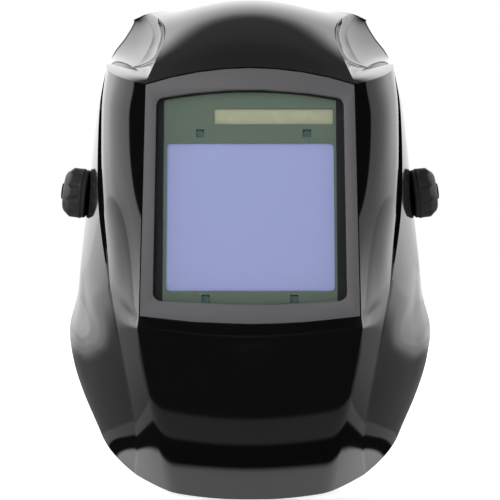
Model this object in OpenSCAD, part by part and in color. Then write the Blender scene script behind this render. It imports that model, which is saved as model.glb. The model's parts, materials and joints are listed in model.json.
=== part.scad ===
// Welding helmet: moulded shell, auto-darkening filter cartridge and adjustable headgear.
// Millimetres. +Z is up, the window faces -Y, and the helmet mirrors about the YZ plane.
// The origin is the middle of the tilt axis, halfway between the two side knobs.

/* [Shell] */
// Height of the crown above the tilt axis
crown_h = 125; // [122:1:130]
// Depth of the chin rim below the tilt axis
chin_drop = 182; // [178:1:188]
// Half of the width across the cheek flanges
cheek_half = 116.5; // [115:0.5:118]
// Thickness of the moulded wall
wall = 2.4; // [2:0.1:2.8]
// How far the middle of the window is in front of the tilt axis
window_reach = 134; // [133:1:138]
// Backward lean of the window
window_tilt = 10; // [8:1:11]

/* [Window] */
// Half width of the viewing opening
opening_half_w = 54; // [53:0.5:55]
// Half height of the viewing opening at its middle
opening_half_h = 62; // [60:0.5:63]
// Thickness of the clear cover lens
cover_t = 1.2; // [1:0.1:1.5]
// Thickness of the bezel in front of the cover lens
bezel_t = 3; // [2.5:0.1:3.2]

/* [Cartridge] */
// Half width of the cartridge
cart_half_w = 56.5; // [56:0.5:57]
// Half height of the cartridge
cart_half_h = 65; // [64:0.5:65.5]
// Depth of the cartridge
cart_depth = 19; // [18:0.5:20]
// Half width of the filter glass that shows
filter_half_w = 48; // [46:0.5:48.5]
// Half height of the filter glass that shows
filter_half_h = 43; // [41:0.5:43]

/* [Pivots] */
// Diameter of the tension knobs
knob_d = 32; // [28:1:34]
// Thickness of the tension knobs
knob_t = 13; // [12:0.5:14]
// Upward lean of the knob axes, square to the shell wall
knob_lean = 7; // [5:0.5:8]
// How far the reach slides travel
reach_travel = 12; // [8:1:12]

/* [Headgear] */
// Half width of the headband
band_half_w = 82; // [80:1:82]
// Half length of the headband
band_half_l = 92; // [90:1:92]
// Height of the front band
band_h = 32; // [28:1:34]
// Diameter of the ratchet knob
ratchet_d = 40; // [34:1:42]

/* [Hidden] */
$fn = 48;
gap = 0.35;                 // clearance between neighbouring pieces
window_mid_z = -4.5;        // height of the window's middle

// A point of the window plane: x, height along the plane, depth behind it
function on_window(x, up, back = 0) = [
    x,
    -window_reach + up * sin(window_tilt) + back * cos(window_tilt),
    window_mid_z + up * cos(window_tilt) - back * sin(window_tilt)
];

// ---- Shell surface ----
// Four lines run down each half of the shell, from the rear edge of the crown to the rim of the chin.
// Stations: 0-3 crown and forehead, 4 window top, 5-6 window, 7 window bottom, 8 lip, 9-12 chin.
bezel_top = 74.5;           // heights of the bezel along the window plane, middle and corners
bezel_top_corner = 64.5;
bezel_bottom = -74.5;
bezel_bottom_corner = -70;
middle_line = [
    [0, 28, crown_h], [0, -18, crown_h - 2.5], [0, -65, crown_h - 17.5], [0, -99, crown_h - 37],
    on_window(0, bezel_top), on_window(0, 50), on_window(0, 0), on_window(0, bezel_bottom),
    on_window(0, bezel_bottom - 6, 0.5), [0, -146, -104], [0, -137, -130], [0, -122, -157],
    [0, -100, -chin_drop]
];
// Edge of the forehead panel, side of the window, edge of the chin panel
ridge_line = [
    [66, 25, crown_h - 7], [55, -28, crown_h - 19], [51.5, -63, crown_h - 31],
    [54.5, -96, crown_h - 47.5], on_window(60.3, bezel_top_corner), on_window(60.6, 45),
    on_window(61.2, 0), on_window(62.2, bezel_bottom_corner), on_window(63, bezel_bottom_corner - 6, 1),
    [60, -139.5, -101], [55, -130, -124], [50, -115, -150], [46, -92, -chin_drop + 3]
];
// Floor of the scoop, shoulder, crease of the side
crease_line = [
    [70.5, 24.6, crown_h - 8.4], [62, -8, crown_h - 21.5], [64, -30, crown_h - 36],
    [71, -56, crown_h - 51], [87, -60, 77.5], [88.5, -80, 46], [88, -82, -8], [83.5, -88, -54],
    [78.5, -94, -81], [73.5, -98, -104], [69, -98, -127], [66.5, -88, -151], [70, -64, -chin_drop + 10.5]
];
// Rear edge
edge_line = [
    [75, 24, crown_h - 9.5], [78, 24.5, crown_h - 15.5], [82.5, 25, crown_h - 22.5],
    [88, 25, crown_h - 29.5], [92.5, 25.5, crown_h - 37], [98.5, 28, 62], [105, 31, 10],
    [111.5, 29, -42], [cheek_half - 3, 25, -65], [cheek_half + 1, 16, -86],
    [cheek_half - 2.5, 4, -107], [105.5, -11, -128], [94.5, -28, -147.5]
];
// Pull of the flank's curve: how far along x, y and z its control point lies
flank_pull = [
    [0.5, 0.5, 0.5], [0.25, 0.7, 0.7], [0.2, 0.75, 0.75], [0.2, 0.7, 0.7], [0.94, 0.05, 0.3],
    [0.94, 0.05, 0.05], [0.88, 0.12, 0.12], [0.5, 0.42, 0.42], [0.48, 0.44, 0.44],
    [0.48, 0.44, 0.44], [0.5, 0.42, 0.42], [0.5, 0.4, 0.4], [0.5, 0.4, 0.4]
];
// Outward step of the side beyond its crease, outward bulge of the side, flare of its rear edge
side_form = [
    [0, 0, 0], [0, -1, 0], [0, -1.5, 0], [0, -1, 0], [0, 0, 0], [1.5, 2, 0], [2.4, 3.4, 0],
    [0.5, 5, 0.5], [0.2, 5, 2.5], [0, 5, 2.5], [0, 5, 1], [0, 4.5, 0], [0, 3.5, 0]
];
sharp_rows = [4, 7, 8];     // stations where the middle panel is creased
scoop_rows = [4];           // station where the sides are creased

last_station = len(middle_line) - 1;
function is_in(x, list) = len([for (e = list) if (e == x) 1]) > 0;
// Smooth curve through a list of stations, broken where the surface is creased
function along(list, v, breaks) =
    let (
        i = min(floor(v), last_station - 1),
        t = v - i,
        b = list[i],
        c = list[i + 1],
        a = i == 0 || is_in(i, breaks) ? 2 * b - c : list[i - 1],
        d = i + 2 > last_station || is_in(i + 1, breaks) ? 2 * c - b : list[i + 2]
    )
    0.5 * (2 * b + t * (c - a) + t * t * (2 * a - 5 * b + 4 * c - d) + t * t * t * (3 * b - a - 3 * c + d));
function bezier(a, b, c, t) = (1 - t) * (1 - t) * a + 2 * t * (1 - t) * b + t * t * c;
function ease(t) = let (u = min(1, max(0, t))) u * u * (3 - 2 * u);

panel_n = 8;                // facets across the middle panel, the flank and the side, for each half
flank_n = 6;
side_n = 8;
half_n = panel_n + flank_n + side_n;
// Station of each row of facets
row_v = [
    for (i = [0:13]) 4 * i / 14,
    for (i = [0:11]) 4 + 3 * i / 12,
    7,
    7.6,
    for (i = [0:11]) 8 + 4 * i / 11
];
row_n = len(row_v);
window_rows = [14, 26];

// Outer surface of the +X half at station v and column c
function half_point(v, c) =
    let (
        mid = along(middle_line, v, sharp_rows),
        ridge = along(ridge_line, v, sharp_rows),
        crease = along(crease_line, v, scoop_rows),
        edge = along(edge_line, v, scoop_rows),
        pull = along(flank_pull, v, scoop_rows),
        form = along(side_form, v, scoop_rows)
    )
    c <= panel_n ? panel_point(mid, ridge, c / panel_n)
    : c <= panel_n + flank_n ? flank_point(ridge, crease, pull, (c - panel_n) / flank_n)
    : side_point(crease, edge, form, (c - panel_n - flank_n - 1) / (side_n - 1));
function panel_point(mid, ridge, t) = [ridge.x * t, mid.y + (ridge.y - mid.y) * t * t,
    mid.z + (ridge.z - mid.z) * t * t];
function flank_point(ridge, crease, pull, t) =
    let (d = crease - ridge)
    bezier(ridge, ridge + [d.x * pull[0], d.y * pull[1], d.z * pull[2]], crease, t);
function side_point(crease, edge, form, t) =
    let (
        d = edge - crease,
        start = crease + d * (0.5 / norm(d)) + [form[0], 0, 0],
        control = (start + edge) / 2 + [2 * form[1], 0, 0]
    )
    bezier(start, control, edge, t) + [form[2] * (ease((t - 0.55) / 0.25) - t), 0, 0];

// Whole rows run from the rear edge at -X to the rear edge at +X
shell_outer = [
    for (v = row_v) [
        for (c = [-half_n:half_n])
            let (p = half_point(v, abs(c)))
            c < 0 ? [-p.x, p.y, p.z] : p
    ]
];
col_n = 2 * half_n + 1;
function unit(p) = p / norm(p);
function surface_normal(i, j) =
    let (
        down = shell_outer[min(i + 1, row_n - 1)][j] - shell_outer[max(i - 1, 0)][j],
        across = shell_outer[i][min(j + 1, col_n - 1)] - shell_outer[i][max(j - 1, 0)]
    )
    unit(cross(down, across));
shell_inner = [
    for (i = [0:row_n - 1]) [
        for (j = [0:col_n - 1]) shell_outer[i][j] - wall * surface_normal(i, j)
    ]
];
function in_window(i, j) = i >= window_rows[0] && i < window_rows[1]
    && j >= half_n - panel_n && j < half_n + panel_n;
function is_cell(i, j) = i >= 0 && j >= 0 && i < row_n - 1 && j < col_n - 1 && !in_window(i, j);

module shell_skin() {
    grid_n = row_n * col_n;
    points = [for (row = shell_outer) each row, for (row = shell_inner) each row];
    faces = [
        for (i = [0:row_n - 2]) for (j = [0:col_n - 2])
            let (a = i * col_n + j, b = a + 1, c = b + col_n, d = a + col_n)
            if (is_cell(i, j)) each [
                [a, b, c], [a, c, d],
                [grid_n + a, grid_n + c, grid_n + b], [grid_n + a, grid_n + d, grid_n + c],
                if (!is_cell(i - 1, j)) each wall_pair(a, b, grid_n),
                if (!is_cell(i + 1, j)) each wall_pair(c, d, grid_n),
                if (!is_cell(i, j - 1)) each wall_pair(d, a, grid_n),
                if (!is_cell(i, j + 1)) each wall_pair(b, c, grid_n)
            ]
    ];
    polyhedron(points, faces, convexity = 10);
}
// Two triangles that join the outer and inner surface along the free edge from a to b
function wall_pair(a, b, n) = [[a, n + b, b], [a, n + a, n + b]];

module shell() {
    color([0.03, 0.03, 0.03])
    difference() {
        shell_skin();
        for (side = [-1, 1]) knob_axis(side) translate([0, 0, -9]) cylinder(r = 4.6, h = 18);
    }
}

// ---- Placing helpers ----
// Extrudes a 2D shape, drawn as x and height along the window, over a range of depth behind the window plane
module on_pane(back, thick)
    translate(on_window(0, 0, back + thick))
        rotate([90 - window_tilt, 0, 0])
            linear_extrude(thick) children();
// Puts children, drawn with +Z towards the wearer, at a point of the window plane
module behind_pane(x, up, back)
    translate(on_window(x, up, back))
        rotate([-90 - window_tilt, 0, 0]) children();
// Puts children, drawn with +Z outwards, on the leaning knob axis; z = 0 is the outer face of the shell wall
wall_x = 104.3;
module knob_axis(side)
    mirror([side < 0 ? 1 : 0, 0, 0])
        translate([wall_x, 0, 0])
            rotate([0, 90 - knob_lean, 0]) children();
// Puts children, drawn with +Z outwards, on the level tilt axis
module tilt_axis(side, x)
    mirror([side < 0 ? 1 : 0, 0, 0])
        translate([x, 0, 0])
            rotate([0, 90, 0]) children();
module right_side(side) mirror([side < 0 ? 1 : 0, 0, 0]) children();
module rounded_rect(w, h, r)
    hull()
        for (x = [-1, 1]) for (y = [-1, 1])
            translate([x * (w / 2 - r), y * (h / 2 - r)]) circle(r = r, $fn = 32);

// ---- Window ----
// Outline of the hole in the shell: an arched top, nearly upright sides and a bowed bottom
function hole_side(k) = let (p = along(ridge_line, 4 + 3 * k / 12, sharp_rows)) [
    p.x, (p.z - window_mid_z) / cos(window_tilt)
];
hole_outline = [
    for (k = [12:-1:0]) hole_side(k),
    for (k = [7:-1:-7]) [60.3 * k / 8, bezel_top - (bezel_top - bezel_top_corner) * k * k / 64],
    for (k = [0:12]) [-hole_side(k).x, hole_side(k).y],
    for (k = [-7:7]) [62.2 * k / 8, bezel_bottom - (bezel_bottom - bezel_bottom_corner) * k * k / 64]
];
// Outline of the viewing opening, with rounded corners
opening_sag = [5.5, 2.5];   // rise of the top edge and drop of the bottom edge towards the middle
module opening(grow = 0)
    offset(delta = grow)
        offset(r = 5, $fn = 32) offset(delta = -5)
            polygon([
                for (k = [8:-1:-8])
                    [(opening_half_w - 0.5) * k / 8, opening_half_h - 0.5 - opening_sag[0] * k * k / 64],
                for (k = [-8:8])
                    [(opening_half_w + 0.5) * k / 8, -opening_half_h - 1 + opening_sag[1] * k * k / 64]
            ]);
// Three layers, each further inside the hole of the curved wall, and a rebate for the cover lens
module window_bezel()
    color([0.16, 0.155, 0.16])
    difference() {
        union() {
            on_pane(0, 0.8) offset(delta = -0.6) polygon(hole_outline);
            on_pane(0.7, bezel_t - 0.7) offset(delta = -2.5) polygon(hole_outline);
            on_pane(bezel_t - 0.1, 3.3) offset(delta = -3.6) polygon(hole_outline);
        }
        on_pane(-1, 9) opening();
        on_pane(bezel_t, 5) opening(2.6);
    }
module front_cover_lens()
    color([0.8, 0.9, 0.95, 0.3])
    on_pane(bezel_t + 0.05, cover_t) opening(2.3);
module lens_gasket()
    color([0.05, 0.05, 0.05])
    on_pane(bezel_t + cover_t + 0.1, 1.8)
        difference() {
            opening(2.3);
            opening(0.2);
        }

// ---- Cartridge ----
cart_back = 6.4;            // depth of the cartridge's front behind the window plane
cart_up = -1;               // height of the cartridge's middle along the window
filter_up = -11.5;            // height of the filter's middle along the window
solar_box = [-21, 42.2, 47.6, 51.8];
sensor_places = [[-28.6, 37], [32.6, 37], [-25, -58.8], [25, -58.8]];
split_back = cart_back + 9; // depth of the joint between the two halves of the case
case_t = 1.6;
module cart_outline(grow = 0)
    translate([0, cart_up]) rounded_rect(2 * (cart_half_w + grow), 2 * (cart_half_h + grow), 6 + grow);
module filter_outline(grow = 0)
    translate([0, filter_up]) rounded_rect(2 * (filter_half_w + grow), 2 * (filter_half_h + grow), 2.5);
module solar_outline(grow = 0)
    translate([solar_box[0] - grow, solar_box[1] - grow])
        square([solar_box[2] - solar_box[0] + 2 * grow, solar_box[3] - solar_box[1] + 2 * grow]);
module sensor_outline(size)
    for (p = sensor_places) translate(p) square(size, center = true);
tray_up = 50;               // height of the battery trays along the window
tray_h = 23;
tray_in = 22;               // x of the inner end of a tray
tray_back = cart_back + 4.4;
tray_t = 4.6;
module tray_slot_cut(side)
    on_pane(tray_back - 0.3, tray_t + 0.6)
        translate([side * (tray_in + cart_half_w + 5) / 2, tray_up])
            square([cart_half_w + 5 - tray_in + 0.6, tray_h + 0.6], center = true);
module cartridge_case_front() {
    color([0.09, 0.085, 0.095])
    difference() {
        union() {
            on_pane(cart_back, case_t)
                difference() {
                    cart_outline();
                    filter_outline();
                    solar_outline();
                    sensor_outline(5);
                }
            on_pane(cart_back + case_t - 0.2, split_back - cart_back - case_t + 0.2)
                difference() {
                    cart_outline();
                    cart_outline(-case_t);
                }
        }
        for (side = [-1, 1]) tray_slot_cut(side);
        // Step that seats the faceplate
        on_pane(cart_back - 0.1, 0.6) faceplate_outline(0.15);
    }
}
face_half_w = 49.3;         // half width of the printed face
module faceplate_outline(grow = 0)
    intersection() {
        translate([0, cart_up]) square([2 * (face_half_w + grow), 2 * cart_half_h - 5], center = true);
        offset(r = 3.5, $fn = 32) offset(delta = -3.5 - 0.4 + grow) opening();
    }
module faceplate()
    color([0.42, 0.48, 0.44])
    on_pane(cart_back - 0.05, 0.45)
        difference() {
            faceplate_outline();
            filter_outline(-0.2);
            solar_outline(-0.2);
            sensor_outline(4.6);
        }
module uv_ir_filter()
    color([0.62, 0.66, 0.86])
    on_pane(cart_back + case_t + 0.1, 1.8) filter_outline(1.6);
module lcd_cell()
    color([0.35, 0.42, 0.3])
    on_pane(cart_back + case_t + 2, 3.6) filter_outline(1.6);
module solar_cell()
    color([0.7, 0.72, 0.58])
    on_pane(cart_back + case_t + 0.1, 1.2) solar_outline(1.5);
module arc_sensors()
    color([0.45, 0.7, 0.7])
    for (p = sensor_places)
        behind_pane(p.x, p.y, cart_back + case_t + 0.1) {
            cylinder(r = 2.3, h = 1.2);
            translate([0, 0, 1.2]) cylinder(r = 1.8, h = 1.2);
        }
board_back = split_back + 0.8;
dial_places = [[-38, 48], [0, 48], [38, 48]];
button_places = [[-19, 48], [19, 48]];
screw_corners = [[-52, 59.5], [52, 59.5], [-52, -62.4], [52, -62.4]];
module circuit_board()
    color([0.1, 0.35, 0.15])
    on_pane(board_back, 1.6)
        difference() {
            cart_outline(-case_t - 0.4);
            filter_outline(1.2);
            for (p = screw_corners) translate(p) circle(r = 3.4);
            for (p = dial_places) translate(p) circle(r = 3.4);
        }
module cartridge_case_rear() {
    color([0.09, 0.085, 0.095])
    difference() {
        union() {
            on_pane(split_back + 0.05, cart_depth - 9 - case_t)
                difference() {
                    cart_outline();
                    cart_outline(-case_t);
                }
            on_pane(cart_back + cart_depth - case_t, case_t)
                difference() {
                    cart_outline();
                    filter_outline(-2.5);
                }
            // Bosses for the case screws
            on_pane(split_back + 0.05, cart_depth - 9.2)
                for (p = screw_corners) translate(p) circle(r = 3);
            // Rim that holds the inner cover lens
            on_pane(cart_back + cart_depth - 0.1, 2.2)
                difference() {
                    filter_outline(3);
                    filter_outline(1.2);
                }
        }
        for (p = screw_corners)
            behind_pane(p.x, p.y, split_back) cylinder(r = 1.3, h = 30);
        for (p = dial_places)
            behind_pane(p.x, p.y, split_back) cylinder(r = 3.2, h = 30);
        for (p = button_places)
            behind_pane(p.x, p.y, split_back) cylinder(r = 3.4, h = 30);
    }
}
module case_screws()
    color("silver")
    for (p = screw_corners)
        behind_pane(p.x, p.y, cart_back + cart_depth - 6) {
            cylinder(r = 1.2, h = 6);
            translate([0, 0, 6.05])
                difference() {
                    cylinder(r = 2.4, h = 1.5);
                    for (a = [0, 90]) rotate(a) translate([-1.6, -0.3, 0.7]) cube([3.2, 0.6, 1]);
                }
        }
module inner_cover_lens()
    color([0.8, 0.9, 0.95, 0.3])
    on_pane(cart_back + cart_depth + 0.1, 1.2) filter_outline(0.9);
module battery_tray(side)
    color([0.12, 0.12, 0.13])
    on_pane(tray_back, tray_t)
        translate([side * (tray_in + cart_half_w + 1.5) / 2, tray_up])
            difference() {
                square([cart_half_w + 1.5 - tray_in, tray_h], center = true);
                translate([-side * 2, 0]) circle(r = 10.2);
            }
module coin_cell(side)
    color("silver")
    behind_pane(side * ((tray_in + cart_half_w + 1.5) / 2 - 2), tray_up, tray_back + 0.7) {
        cylinder(r = 10, h = 2.6);
        translate([0, 0, 2.6]) cylinder(r = 8.7, h = 0.6);
    }
module battery_tray_left() battery_tray(-1);
module battery_tray_right() battery_tray(1);
module coin_cell_left() coin_cell(-1);
module coin_cell_right() coin_cell(1);
dial_r = 7.5;
module dial(place)
    color([0.2, 0.2, 0.21])
    behind_pane(place.x, place.y, cart_back + cart_depth - 4.5) {
        cylinder(r = 3.1, h = 4.9);
        translate([0, 0, 4.9])
            difference() {
                cylinder(r = dial_r, h = 6);
                for (a = [0:30:330])
                    rotate(a) translate([dial_r + 0.6, 0, -1]) cylinder(r = 1.3, h = 8, $fn = 24);
                translate([-0.6, 0, 5]) cube([1.2, dial_r, 2]);
            }
    }
module shade_dial() dial(dial_places[0]);
module sensitivity_dial() dial(dial_places[1]);
module delay_dial() dial(dial_places[2]);
module button(place)
    color([0.5, 0.08, 0.07])
    behind_pane(place.x, place.y, cart_back + cart_depth - 3.5) {
        cylinder(r = 4.6, h = 1.2);
        cylinder(r = 3.3, h = 5.5);
    }
module grind_button() button(button_places[0]);
module test_button() button(button_places[1]);

// ---- Holder that keeps the cartridge against the bezel ----
holder_back = 6.3;
holder_depth = 17;
holder_screw_places = [[-59.2, 30], [59.2, 30], [-59.2, -40], [59.2, -40]];
clip_places = [[-60.2, -8], [60.2, -8]];
clip_back = holder_back + holder_depth + 2.4;
module holder_outline()
    translate([0, cart_up])
        rounded_rect(2 * cart_half_w + 10.4, 2 * cart_half_h + 5.6, 8);
module cartridge_holder()
    color([0.1, 0.1, 0.1])
    difference() {
        union() {
            on_pane(holder_back, holder_depth)
                difference() {
                    holder_outline();
                    cart_outline(0.3);
                }
            // Bosses under the clips
            on_pane(holder_back + holder_depth - 0.2, clip_back - holder_back - holder_depth + 0.15)
                for (p = clip_places) translate(p) circle(r = 2.9);
        }
        for (side = [-1, 1]) tray_slot_cut(side);
        for (p = holder_screw_places)
            behind_pane(p.x, p.y, holder_back - 1) cylinder(r = 1.3, h = 30);
        for (p = clip_places)
            behind_pane(p.x, p.y, holder_back + holder_depth - 8) cylinder(r = 1.1, h = 30);
    }
module holder_screws()
    color("silver")
    for (p = holder_screw_places)
        behind_pane(p.x, p.y, holder_back) {
            cylinder(r = 1.2, h = holder_depth + 0.1);
            translate([0, 0, holder_depth + 0.05]) cylinder(r = 2.2, h = 1.4);
        }
module cartridge_clip(place)
    color([0.16, 0.16, 0.17])
    behind_pane(place.x, place.y, clip_back)
        difference() {
            hull() {
                cylinder(r = 3.2, h = 2.2);
                translate([place.x > 0 ? -4.2 : 4.2, 0, 0]) cylinder(r = 2.2, h = 2.2, $fn = 32);
            }
            translate([0, 0, -1]) cylinder(r = 1.15, h = 5);
        }
module cartridge_clip_left() cartridge_clip(clip_places[0]);
module cartridge_clip_right() cartridge_clip(clip_places[1]);
module clip_screws()
    color("silver")
    for (p = clip_places)
        behind_pane(p.x, p.y, holder_back + holder_depth - 6) {
            cylinder(r = 1.07, h = 10.7);
            translate([0, 0, 10.7]) cylinder(r = 2.2, h = 1.2);
        }

// ---- Pivots ----
// Layers of each pivot, measured outwards along X from the middle
arm_x = 84;                 // side arm of the headband
arm_t = 2.5;
slide_x = arm_x + arm_t + 0.2;
slide_t = 3;
washer_x = slide_x + slide_t + 0.1;
washer_t = 1;
flange_x = washer_x + washer_t + 0.1;
flange_t = 2.5;
journal_r = 9;
lug_r = 25;                 // reach of the stop lug on the pivot bush
cam_y = -21;                // middle of the tilt stop's spigot
cam_z = -10.5;
cam_r = 6.2;
cam_offset = 1.6;
module friction_ring(side)
    tilt_axis(side, washer_x)
        difference() {
            cylinder(r = 15, h = washer_t);
            translate([0, 0, -1]) cylinder(r = journal_r + 0.2, h = 3);
        }
module pivot_bush(side)
    color([0.12, 0.12, 0.12])
    difference() {
        union() {
            tilt_axis(side, slide_x + 0.1) cylinder(r = journal_r, h = flange_x - slide_x);
            tilt_axis(side, flange_x) cylinder(r = 15, h = flange_t);
            // Wedge that fills the space up to the leaning shell wall
            intersection() {
                tilt_axis(side, flange_x) cylinder(r = 13, h = 14);
                knob_axis(side) translate([-30, -30, -40]) cube([60, 60, 40 - wall - 2.3]);
            }
            if (side > 0) translate([flange_x, -lug_r, -3]) cube([flange_t, lug_r - 8, 6]);
        }
        knob_axis(side) translate([0, 0, -40]) cylinder(r = 4.15, h = 60);
    }
module pivot_bush_left() pivot_bush(-1);
module pivot_bush_right() pivot_bush(1);
screw_head_z = -20.8;       // inner end of the screw's shank on the knob axis
module pivot_screws()
    color("silver")
    for (side = [-1, 1])
        knob_axis(side) {
            translate([0, 0, screw_head_z]) cylinder(r = 4, h = -screw_head_z + 11);
            translate([0, 0, screw_head_z - 2.6]) cylinder(r = 6.5, h = 2.6);
        }
washer_z = 0.9;             // knob washers stand just clear of the crowned shell wall
module knob_washers()
    color([0.5, 0.5, 0.5])
    for (side = [-1, 1])
        knob_axis(side) translate([0, 0, washer_z])
            difference() {
                cylinder(r = 11, h = 1);
                translate([0, 0, -1]) cylinder(r = 4.2, h = 3);
            }
knob_z = washer_z + 1.15;
rib_count = 10;
module tension_knob(side)
    color([0.02, 0.02, 0.02])
    knob_axis(side) translate([0, 0, knob_z])
        difference() {
            rotate_extrude($fn = 64)
                polygon([
                    [4.3, 0], [knob_d / 2 - 1, 0], [knob_d / 2, 1], [knob_d / 2, knob_t - 5],
                    [knob_d / 2 - 3.5, knob_t - 0.8], [knob_d / 2 - 5, knob_t], [4.3, knob_t]
                ]);
            for (k = [0:rib_count - 1])
                rotate(360 * k / rib_count)
                    translate([knob_d / 2 + 1.4, 0, 3]) cylinder(r = 2.6, h = knob_t);
            translate([0, 0, 1.6]) cylinder(r = 6.7, h = knob_t);
        }
module tension_knob_left() tension_knob(-1);
module tension_knob_right() tension_knob(1);
module knob_nut(side)
    color([0.78, 0.62, 0.3])
    knob_axis(side) translate([0, 0, knob_z + 1.7])
        difference() {
            union() {
                cylinder(r = 6.6, h = 9);
                translate([0, 0, 9]) cylinder(r = 5, h = knob_t - 9);
            }
            translate([0, 0, -1]) cylinder(r = 4.05, h = 10.6);
        }
module knob_nut_left() knob_nut(-1);
module knob_nut_right() knob_nut(1);
module friction_washers()
    color([0.85, 0.8, 0.7])
    for (side = [-1, 1]) friction_ring(side);
// Plate that slides along the side arm on two headed pins and carries the bush
slide_pin_y = 24;
slide_pin_z = 9;
module reach_slide(side)
    color([0.14, 0.14, 0.15])
    right_side(side)
        difference() {
            union() {
                translate([slide_x, -32, -18]) cube([slide_t, 64, 36]);
                for (y = [-slide_pin_y, slide_pin_y])
                    translate([arm_x - 0.2, y, slide_pin_z]) rotate([0, 90, 0]) {
                        cylinder(r = 2.2, h = 3);
                        translate([0, 0, -1.5]) cylinder(r = 3.6, h = 1.5);
                    }
                if (side > 0)
                    translate([slide_x, cam_y, cam_z]) rotate([0, 90, 0])
                        cylinder(r = 2.95, h = flange_x + flange_t - slide_x);
            }
            tilt_axis(1, slide_x - 5) cylinder(r = journal_r + 0.05, h = 20);
        }
module reach_slide_left() reach_slide(-1);
module reach_slide_right() reach_slide(1);
// Eccentric disc under the stop lug, with a finger tab
module tilt_stop()
    color([0.6, 0.08, 0.06])
    translate([flange_x, cam_y, cam_z])
        difference() {
            union() {
                translate([0, 0, cam_offset]) rotate([0, 90, 0]) cylinder(r = cam_r - 0.6, h = flange_t);
                translate([0, -9, -3]) cube([flange_t, 9, 4]);
            }
            translate([-1, 0, 0]) rotate([0, 90, 0]) cylinder(r = 3, h = flange_t + 2);
        }

// ---- Headgear ----
band_mid_y = 16;            // middle of the headband's outline
band_t = 2.2;
band_z = 41;                // height of the front band's middle
rack_end = 44;              // x where a rear band becomes its rack
rack_y = 103;               // inner face of the racks
rack_t = 2;
nape_z = -28;               // height of the rear band's end
// Point of the headband at an angle from the front, grown outwards, with its height
function band_height(a) = band_z + (nape_z - band_z) * ease((abs(a) - 86) / 70);
function band_point(a, out) = [
    (band_half_w + out) * sin(a),
    band_mid_y - (band_half_l + out) * cos(a),
    band_height(a)
];
// Rear half of the outline, squarer so that it meets the ratchet housing straight on
function nape_point(a, out) = let (s = sin(a), c = -cos(a)) [
    (a < 0 ? -1 : 1) * (band_half_w + out) * pow(abs(s), 0.84),
    band_mid_y + (band_half_l + out) * (c < 0 ? -1 : 1) * pow(abs(c), 0.84),
    band_height(a)
];
// Closed strip through a list of cross-sections of four corners each
module strip(sections) {
    n = len(sections);
    polyhedron(
        [for (q = sections) each q],
        [
            [0, 1, 2], [0, 2, 3],
            for (i = [0:n - 2]) for (k = [0:3])
                let (a = 4 * i + k, b = 4 * i + (k + 1) % 4)
                each [[a, a + 4, b + 4], [a, b + 4, b]],
            [4 * n - 4, 4 * n - 2, 4 * n - 3], [4 * n - 4, 4 * n - 1, 4 * n - 2]
        ],
        convexity = 6
    );
}
function band_section(inner, outer, h) = [
    inner - [0, 0, h / 2], outer - [0, 0, h / 2], outer + [0, 0, h / 2], inner + [0, 0, h / 2]
];
module front_band()
    color([0.1, 0.1, 0.1])
    difference() {
        union() {
            strip([
                for (a = [104:-8:-104])
                    band_section(band_point(a, 0), band_point(a, band_t), abs(a) > 90 ? 24 : band_h)
            ]);
            // Side arms that carry the reach slides
            for (side = [-1, 1]) right_side(side) {
                translate([arm_x, -42, -20]) cube([arm_t, 76, 56]);
                translate([arm_x - 1.4, 4, 28]) cube([2, 24, 8]);
            }
        }
        for (side = [-1, 1]) right_side(side) {
            translate([arm_x - 1, -reach_travel - 10.5, -11.5]) cube([5, reach_travel + 21, 23]);
            for (y = [-slide_pin_y, slide_pin_y])
                hull()
                    for (d = [0, -reach_travel])
                        translate([arm_x - 1, y + d, slide_pin_z]) rotate([0, 90, 0])
                            cylinder(r = 2.5, h = 5, $fn = 24);
        }
    }
module sweatband()
    color([0.2, 0.2, 0.21])
    strip([
        for (a = [64:-8:-64])
            band_section(band_point(a, -7), band_point(a, -0.4), band_h - (abs(a) > 60 ? 12 : 4))
    ]);
module rear_band(side)
    color([0.1, 0.1, 0.1])
    right_side(side)
        strip([
            band_section([rack_end + 0.3, rack_y, nape_z], [rack_end + 0.3, rack_y + rack_t, nape_z], 20),
            for (a = [150:-4:90]) band_section(nape_point(a, -4.6), nape_point(a, -2.7), 20)
        ]);
module rear_band_left() rear_band(-1);
module rear_band_right() rear_band(1);
// Strap over the head: an arch between the two sides of the band
strap_w = 18;
strap_t = 1.6;
// Half width, base height, rise, y of the base and lean of each arch
crown_arch = [84.3, 49, 49, -10, 14];
back_arch = [81.6, 28, 54, 50, -12];
function arch_point(arch, b, out) = [
    (arch[0] + out) * sin(min(b, 90)), arch[3] + arch[4] * cos(b), arch[1] + (arch[2] + out) * cos(b)
];
function arch_section(arch, b, out) =
    let (
        p = arch_point(arch, b, out),
        q = arch_point(arch, b, out + strap_t),
        w = [0, strap_w / 2, 0]
    )
    [p + w, q + w, q - w, p - w];
// The right strap climbs over the left one near the top
module arch_strap(side, arch)
    color([0.1, 0.1, 0.1])
    right_side(side)
        strip([
            for (b = [-12:6:102])
                arch_section(arch, b, side > 0 ? (0.3 + strap_t) * ease((50 - b) / 30) : 0)
        ]);
module crown_strap_left() arch_strap(-1, crown_arch);
module crown_strap_right() arch_strap(1, crown_arch);
module back_strap_left() arch_strap(-1, back_arch);
module back_strap_right() arch_strap(1, back_arch);
module arch_pin(arch)
    translate([0, arch[3] + arch[4], arch[1] + arch[2] - 1.6]) {
        cylinder(r = 4, h = 1.5);
        cylinder(r = 2, h = 6.5);
        translate([0, 0, 5.3]) cylinder(r = 3.2, h = 1.4);
    }
module crown_pins()
    color([0.1, 0.1, 0.1]) {
        arch_pin(crown_arch);
        arch_pin(back_arch);
    }
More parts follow.
